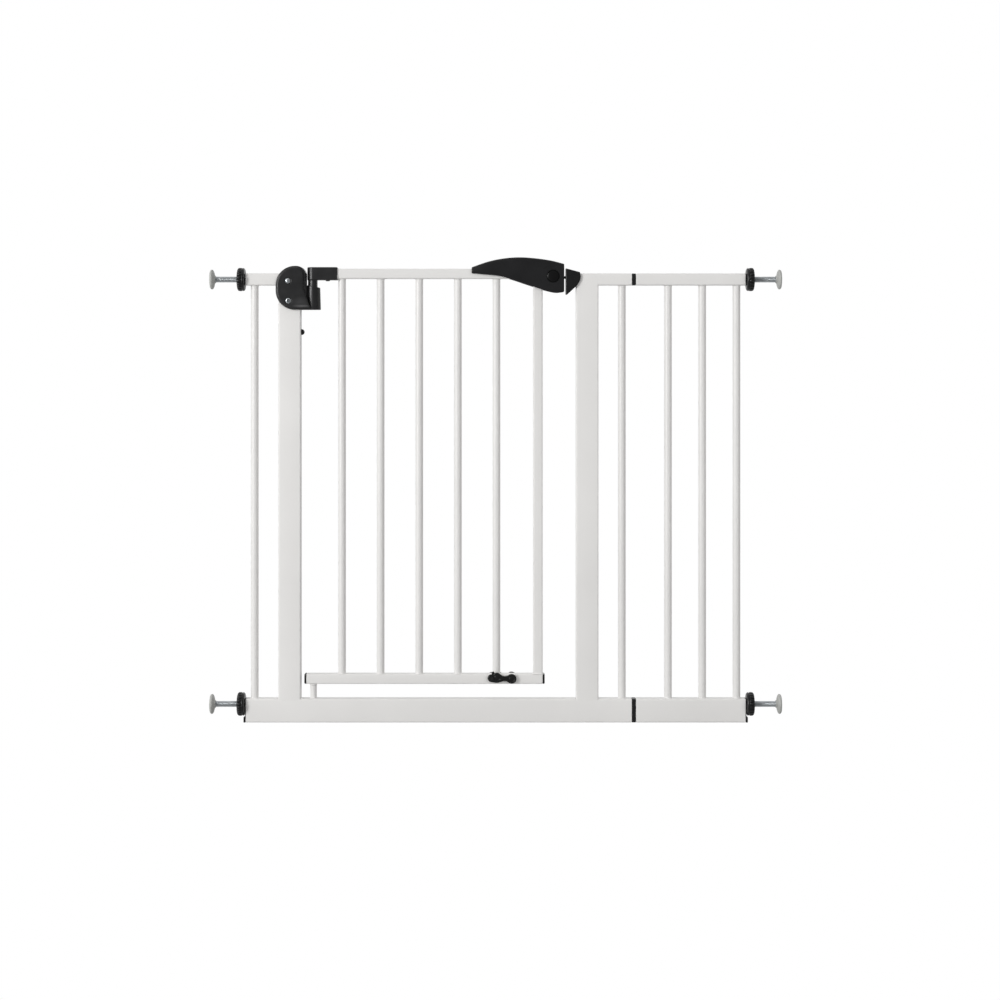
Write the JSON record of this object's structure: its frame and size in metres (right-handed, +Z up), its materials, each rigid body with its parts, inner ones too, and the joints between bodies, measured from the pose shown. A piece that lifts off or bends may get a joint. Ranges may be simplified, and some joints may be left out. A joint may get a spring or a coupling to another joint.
{
  "type": "safety baby gate",
  "caption": "Pressure-fit walk-through child safety gate with barred door, lifting latch handle, extension panel and screw-out wall pads",
  "frame": {"origin": "on the floor, midway between the two walls, in the middle of the tubes' depth", "axes": "+X along the gate from the hinge side to the extension, -Y the front, +Z up"},
  "size_m": [0.9686, 0.0396, 0.7876],
  "materials": {
    "white_steel": "semi-gloss white powder coat",
    "black_plastic": "fine-textured black moulded plastic",
    "zinc_steel": "bright zinc-plated steel",
    "grey_rubber": "matt grey rubber"
  },
  "bodies": {
    "frame": {"bottom_rail": "white_steel", "left_post": "white_steel", "right_post": "white_steel", "left_top_rail": "white_steel", "right_top_rail": "white_steel", "left_bar": "white_steel", "right_bar": "white_steel", "lower_hinge_pin": "white_steel", "hinge_housing_front": "black_plastic", "hinge_housing_rear": "black_plastic", "hinge_screw_upper": "zinc_steel", "hinge_screw_lower": "zinc_steel", "post_bumper": "black_plastic", "striker": "black_plastic", "lower_left_end_plug": "black_plastic", "upper_left_end_plug": "black_plastic", "lower_right_end_plug": "black_plastic", "upper_right_end_plug": "black_plastic", "extension_bottom_rail": "white_steel", "extension_top_rail": "white_steel", "extension_bar_1": "white_steel", "extension_bar_2": "white_steel", "extension_bar_3": "white_steel", "bottom_joint_insert": "black_plastic", "top_joint_insert": "black_plastic"},
    "door": {"door_top_rail": "white_steel", "door_bottom_rail": "white_steel", "door_bar_1": "white_steel", "door_bar_2": "white_steel", "door_bar_3": "white_steel", "door_bar_4": "white_steel", "door_bar_5": "white_steel", "door_end_upright": "white_steel", "door_cap_left": "black_plastic", "door_cap_right": "black_plastic", "hinge_knuckle": "black_plastic", "lower_hinge_bush": "white_steel", "latch_body": "black_plastic", "bolt_spring": "zinc_steel", "swing_stop_pin": "black_plastic"},
    "handle": {"handle_front_shell": "black_plastic", "handle_rear_shell": "black_plastic", "button_spring": "zinc_steel"},
    "button": {"lock_button": "black_plastic"},
    "bolt": {"latch_bolt": "black_plastic"},
    "stop_front": {"swing_stop_front": "black_plastic"},
    "stop_rear": {"swing_stop_rear": "black_plastic"},
    "lower_left_knob": {"lower_left_knob": "black_plastic"},
    "lower_left_spindle": {"lower_left_spindle": "zinc_steel", "lower_left_pad": "grey_rubber"},
    "lower_right_knob": {"lower_right_knob": "black_plastic"},
    "lower_right_spindle": {"lower_right_spindle": "zinc_steel", "lower_right_pad": "grey_rubber"},
    "upper_left_knob": {"upper_left_knob": "black_plastic"},
    "upper_left_spindle": {"upper_left_spindle": "zinc_steel", "upper_left_pad": "grey_rubber"},
    "upper_right_knob": {"upper_right_knob": "black_plastic"},
    "upper_right_spindle": {"upper_right_spindle": "zinc_steel", "upper_right_pad": "grey_rubber"}
  },
  "joints": [
    {"name": "door_swing", "type": "hinge", "parent": "frame", "child": "door", "pos_m": [-0.309, 0, 0], "axis": [0, 0, 1], "range_deg": [-90, 90]},
    {"name": "handle_lift", "type": "hinge", "parent": "door", "child": "handle", "pos_m": [0.0974, 0, 0.7552], "axis": [0, 1, 0], "range_deg": [0, 10], "stiffness_Nm_per_rad": 0.8, "springref_deg": -8.59},
    {"name": "button_press", "type": "slide", "parent": "handle", "child": "button", "axis": [0, 1, 0], "range_m": [0, 0.003], "stiffness_N_per_m": 400, "springref_m": -0.001, "deforming": ["button_spring"]},
    {"name": "bolt_slide", "type": "slide", "parent": "door", "child": "bolt", "axis": [-1, 0, 0], "range_m": [0, 0.006], "deforming": ["bolt_spring"]},
    {"name": "swing_stop_front_turn", "type": "hinge", "parent": "door", "child": "stop_front", "pos_m": [-0.007, -0.0126, 0.0756], "axis": [0, 1, 0], "range_deg": [0, 90]},
    {"name": "swing_stop_rear_turn", "type": "hinge", "parent": "door", "child": "stop_rear", "pos_m": [-0.007, 0.0126, 0.0756], "axis": [0, 1, 0], "range_deg": [0, 90]},
    {"name": "lower_left_spindle_slide", "type": "slide", "parent": "frame", "child": "lower_left_spindle", "axis": [-1, 0, 0], "range_m": [-0.025, 0.015]},
    {"name": "lower_left_knob_turn", "type": "hinge", "parent": "frame", "child": "lower_left_knob", "pos_m": [-0.4314, 0, 0.03], "axis": [-1, 0, 0], "range_deg": [-6001, 3601]},
    {"name": "lower_right_spindle_slide", "type": "slide", "parent": "frame", "child": "lower_right_spindle", "axis": [1, 0, 0], "range_m": [-0.025, 0.015]},
    {"name": "lower_right_knob_turn", "type": "hinge", "parent": "frame", "child": "lower_right_knob", "pos_m": [0.4314, 0, 0.03], "axis": [1, 0, 0], "range_deg": [-6001, 3601]},
    {"name": "upper_left_spindle_slide", "type": "slide", "parent": "frame", "child": "upper_left_spindle", "axis": [-1, 0, 0], "range_m": [-0.025, 0.015]},
    {"name": "upper_left_knob_turn", "type": "hinge", "parent": "frame", "child": "upper_left_knob", "pos_m": [-0.4314, 0, 0.75], "axis": [-1, 0, 0], "range_deg": [-6001, 3601]},
    {"name": "upper_right_spindle_slide", "type": "slide", "parent": "frame", "child": "upper_right_spindle", "axis": [1, 0, 0], "range_m": [-0.025, 0.015]},
    {"name": "upper_right_knob_turn", "type": "hinge", "parent": "frame", "child": "upper_right_knob", "pos_m": [0.4314, 0, 0.75], "axis": [1, 0, 0], "range_deg": [-6001, 3601]}
  ],
  "couplings": [
    {"joint": "bolt_slide", "follows": "handle_lift", "m_per_rad": 0.034367},
    {"joint": "lower_left_knob_turn", "follows": "lower_left_spindle_slide", "rad_per_m": 4188.8},
    {"joint": "lower_right_knob_turn", "follows": "lower_right_spindle_slide", "rad_per_m": 4188.8},
    {"joint": "upper_left_knob_turn", "follows": "upper_left_spindle_slide", "rad_per_m": 4188.8},
    {"joint": "upper_right_knob_turn", "follows": "upper_right_spindle_slide", "rad_per_m": 4188.8}
  ]
}
